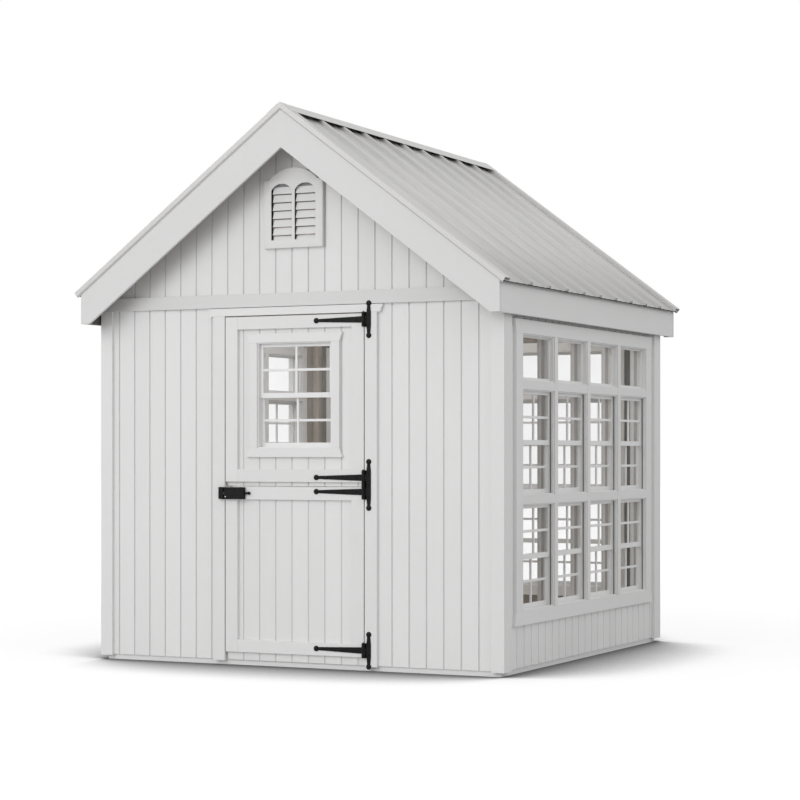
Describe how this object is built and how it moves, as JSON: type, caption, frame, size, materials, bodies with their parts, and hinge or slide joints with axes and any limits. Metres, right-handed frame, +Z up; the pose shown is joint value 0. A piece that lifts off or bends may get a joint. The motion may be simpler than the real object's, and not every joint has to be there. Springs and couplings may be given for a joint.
{
  "type": "greenhouse",
  "caption": "Garden greenhouse of white grooved boards with a ribbed metal gable roof, window groups and a split entrance door.",
  "frame": {"origin": "middle of the footprint on the ground, under the middle of the roof", "axes": "+Z up, +X to the right as seen from in front of the door, +Y from the door to the back wall"},
  "size_m": [2.6492, 2.82, 3.0768],
  "materials": {
    "white_siding": "grooved boards in white paint, matt",
    "white_trim": "smooth boards in white paint, matt",
    "window_white": "white painted window frames, satin",
    "window_glass": "clear glass",
    "raw_wood": "unpainted softwood",
    "roof_metal": "pale grey painted sheet, satin",
    "black_iron": "black powder coat, matt"
  },
  "bodies": {
    "house": {"floor_frame": "raw_wood", "floor_deck": "raw_wood", "front_frame_sides": "raw_wood", "front_frame_head": "raw_wood", "back_frame": "raw_wood", "left_frame": "raw_wood", "right_frame": "raw_wood", "front_siding_sides": "white_siding", "front_gable_siding": "white_siding", "back_siding": "white_siding", "back_gable_siding": "white_siding", "left_siding": "white_siding", "right_siding": "white_siding", "corner_boards": "white_trim", "gable_bands": "white_trim", "back_window_casing": "white_trim", "back_window_frames": "window_white", "back_window_glass": "window_glass", "left_window_casing": "white_trim", "left_window_frames": "window_white", "left_window_glass": "window_glass", "right_window_casing": "white_trim", "right_window_frames": "window_white", "right_window_glass": "window_glass", "door_side_casings": "white_trim", "door_head_casing": "white_trim", "gable_vents": "white_trim", "rafters": "raw_wood", "ridge_board": "raw_wood", "eave_blocks": "raw_wood", "roof_boards": "raw_wood", "rake_boards": "white_trim", "eave_boards": "white_trim", "roof_sheets": "roof_metal", "rake_trims": "roof_metal", "ridge_cap": "roof_metal", "hinge_plates": "black_iron", "latch_keeper": "black_iron"},
    "upper_door": {"upper_door_panel": "white_siding", "upper_door_trim": "white_trim", "upper_door_battens": "raw_wood", "door_window_frame": "window_white", "door_window_glass": "window_glass", "upper_door_straps": "black_iron"},
    "lower_door": {"lower_door_panel": "white_siding", "lower_door_trim": "white_trim", "lower_door_battens": "raw_wood", "lower_door_straps": "black_iron", "latch_case": "black_iron"},
    "door_bolt": {"latch_bolt": "black_iron"}
  },
  "joints": [
    {"name": "upper_door_hinge", "type": "hinge", "parent": "house", "child": "upper_door", "pos_m": [0.432, -1.26, 1.47], "axis": [0, 0, 1], "range_deg": [0, 150]},
    {"name": "lower_door_hinge", "type": "hinge", "parent": "house", "child": "lower_door", "pos_m": [0.432, -1.26, 0.54], "axis": [0, 0, 1], "range_deg": [0, 150]},
    {"name": "bolt_slide", "type": "slide", "parent": "lower_door", "child": "door_bolt", "axis": [1, 0, 0], "range_m": [-0.022, 0]}
  ]
}
